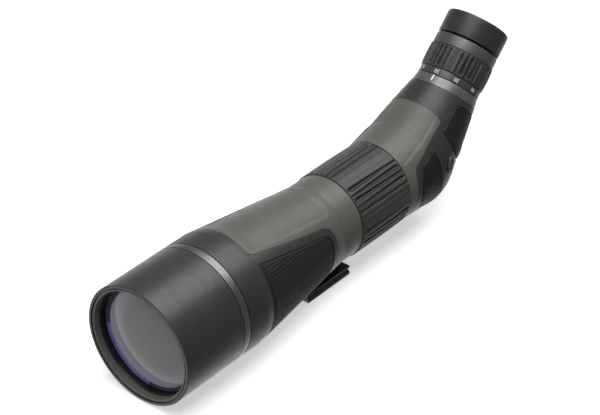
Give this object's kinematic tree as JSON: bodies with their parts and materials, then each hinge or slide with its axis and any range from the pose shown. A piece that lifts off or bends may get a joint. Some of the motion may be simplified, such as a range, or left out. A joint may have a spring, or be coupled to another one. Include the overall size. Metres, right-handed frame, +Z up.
{
  "type": "angled spotting scope",
  "caption": "Angled zoom spotting scope with sliding sunshade, ribbed focus and zoom rings, twist-up eyecup and dovetail tripod foot.",
  "frame": {"origin": "centre of the mounting foot's flat base, on the tripod screw's axis", "axes": "+Z up from the foot, -Y along the main optical axis towards the view, +Y towards the eyepiece, which rises at 45 degrees in the X = 0 plane"},
  "size_m": [0.0962, 0.4227, 0.1536],
  "materials": {
    "sunshade_paint": "fine matt black powder coat",
    "mouth_ring": "matt grey-olive lacquer",
    "felt": "black felt",
    "black_anodised": "matt black anodised",
    "silver_trim": "satin brushed",
    "olive_armour": "soft-touch olive-grey skin",
    "black_armour": "smooth soft-touch black",
    "black_grip": "fine-ribbed black rubber",
    "ring_rubber": "ribbed black rubber",
    "cast_alloy": "cast and machined",
    "coated_glass": "multi-coated",
    "prism_glass": "polished, ground edges",
    "steel": "bright",
    "black_steel": "blackened",
    "brass": "turned",
    "seal_rubber": "smooth",
    "satin_grey": "satin bead-blasted",
    "number_black": "satin anodised, white numbers",
    "eyecup_rubber": "smooth black"
  },
  "bodies": {
    "scope_body": {"objective_cell": "black_anodised", "lens_retaining_ring": "black_anodised", "objective_lens_front": "coated_glass", "objective_lens_spacer": "black_anodised", "objective_lens_rear": "coated_glass", "objective_seal": "seal_rubber", "trim_band": "silver_trim", "front_ring": "black_armour", "objective_barrel": "cast_alloy", "focus_seals": "seal_rubber", "top_cover": "olive_armour", "lower_armour": "black_armour", "side_grip_right": "black_grip", "side_grip_left": "black_grip", "neck_collar": "olive_armour", "mounting_foot": "black_anodised", "tripod_insert": "brass", "foot_screws": "black_steel", "housing_top_cover": "olive_armour", "housing_armour": "black_armour", "housing_grip_lower_right": "black_grip", "housing_grip_lower_left": "black_grip", "housing_grip_upper_right": "black_grip", "housing_grip_upper_left": "black_grip", "prism_housing": "cast_alloy", "strap_lugs": "black_armour", "prism": "prism_glass", "prism_bracket": "black_anodised", "prism_screws": "steel", "prism_clamp": "steel", "index_collar": "satin_grey", "eyepiece_tube": "black_anodised", "eyepiece_rear_ring": "satin_grey", "field_stop": "black_anodised", "field_lens": "coated_glass", "eye_lens": "coated_glass", "eye_lens_ring": "black_anodised"},
    "sunshade": {"sunshade_tube": "sunshade_paint", "sunshade_mouth_ring": "mouth_ring", "sunshade_guide_band": "felt"},
    "focus_ring": {"focus_hub": "cast_alloy", "focus_grip": "ring_rubber"},
    "focus_carrier": {"focus_lens_cell": "black_anodised", "focus_lens": "coated_glass", "focus_lens_ring": "black_anodised", "focus_pins": "steel"},
    "zoom_ring": {"zoom_number_ring": "number_black", "zoom_hub": "cast_alloy", "zoom_grip": "ring_rubber"},
    "zoom_carrier": {"zoom_lens_cell": "black_anodised", "zoom_lens": "coated_glass", "zoom_lens_rear": "coated_glass", "zoom_pins": "steel"},
    "eyecup_sleeve_body": {"eyecup_sleeve": "black_anodised"},
    "eyecup_body": {"eyecup": "eyecup_rubber"}
  },
  "joints": [
    {"name": "sunshade_slide", "type": "slide", "parent": "scope_body", "child": "sunshade", "axis": [0, -1, 0], "range_m": [0, 0.038]},
    {"name": "focus_turn", "type": "hinge", "parent": "scope_body", "child": "focus_ring", "pos_m": [0, 0.0497, 0.0485], "axis": [0, 1, 0], "range_deg": [-150, 150]},
    {"name": "focus_slide", "type": "slide", "parent": "scope_body", "child": "focus_carrier", "axis": [0, 1, 0], "range_m": [-0.009, 0.009]},
    {"name": "zoom_turn", "type": "hinge", "parent": "scope_body", "child": "zoom_ring", "pos_m": [0, 0.18287, 0.10507], "axis": [0, -0.7071, -0.7071], "range_deg": [0, 158]},
    {"name": "zoom_slide", "type": "slide", "parent": "scope_body", "child": "zoom_carrier", "axis": [0, 0.7071, 0.7071], "range_m": [0, 0.009]},
    {"name": "eyecup_lift", "type": "slide", "parent": "scope_body", "child": "eyecup_sleeve_body", "axis": [0, 0.7071, 0.7071], "range_m": [0, 0.01]},
    {"name": "eyecup_turn", "type": "hinge", "parent": "eyecup_sleeve_body", "child": "eyecup_body", "pos_m": [0, 0.20691, 0.12911], "axis": [0, 0.7071, 0.7071], "range_deg": [0, 110]}
  ],
  "couplings": [
    {"joint": "focus_slide", "follows": "focus_turn", "m_per_rad": 0.0034374},
    {"joint": "zoom_slide", "follows": "zoom_turn", "m_per_rad": 0.0032634},
    {"joint": "eyecup_lift", "follows": "eyecup_turn", "m_per_rad": 0.0052082}
  ]
}
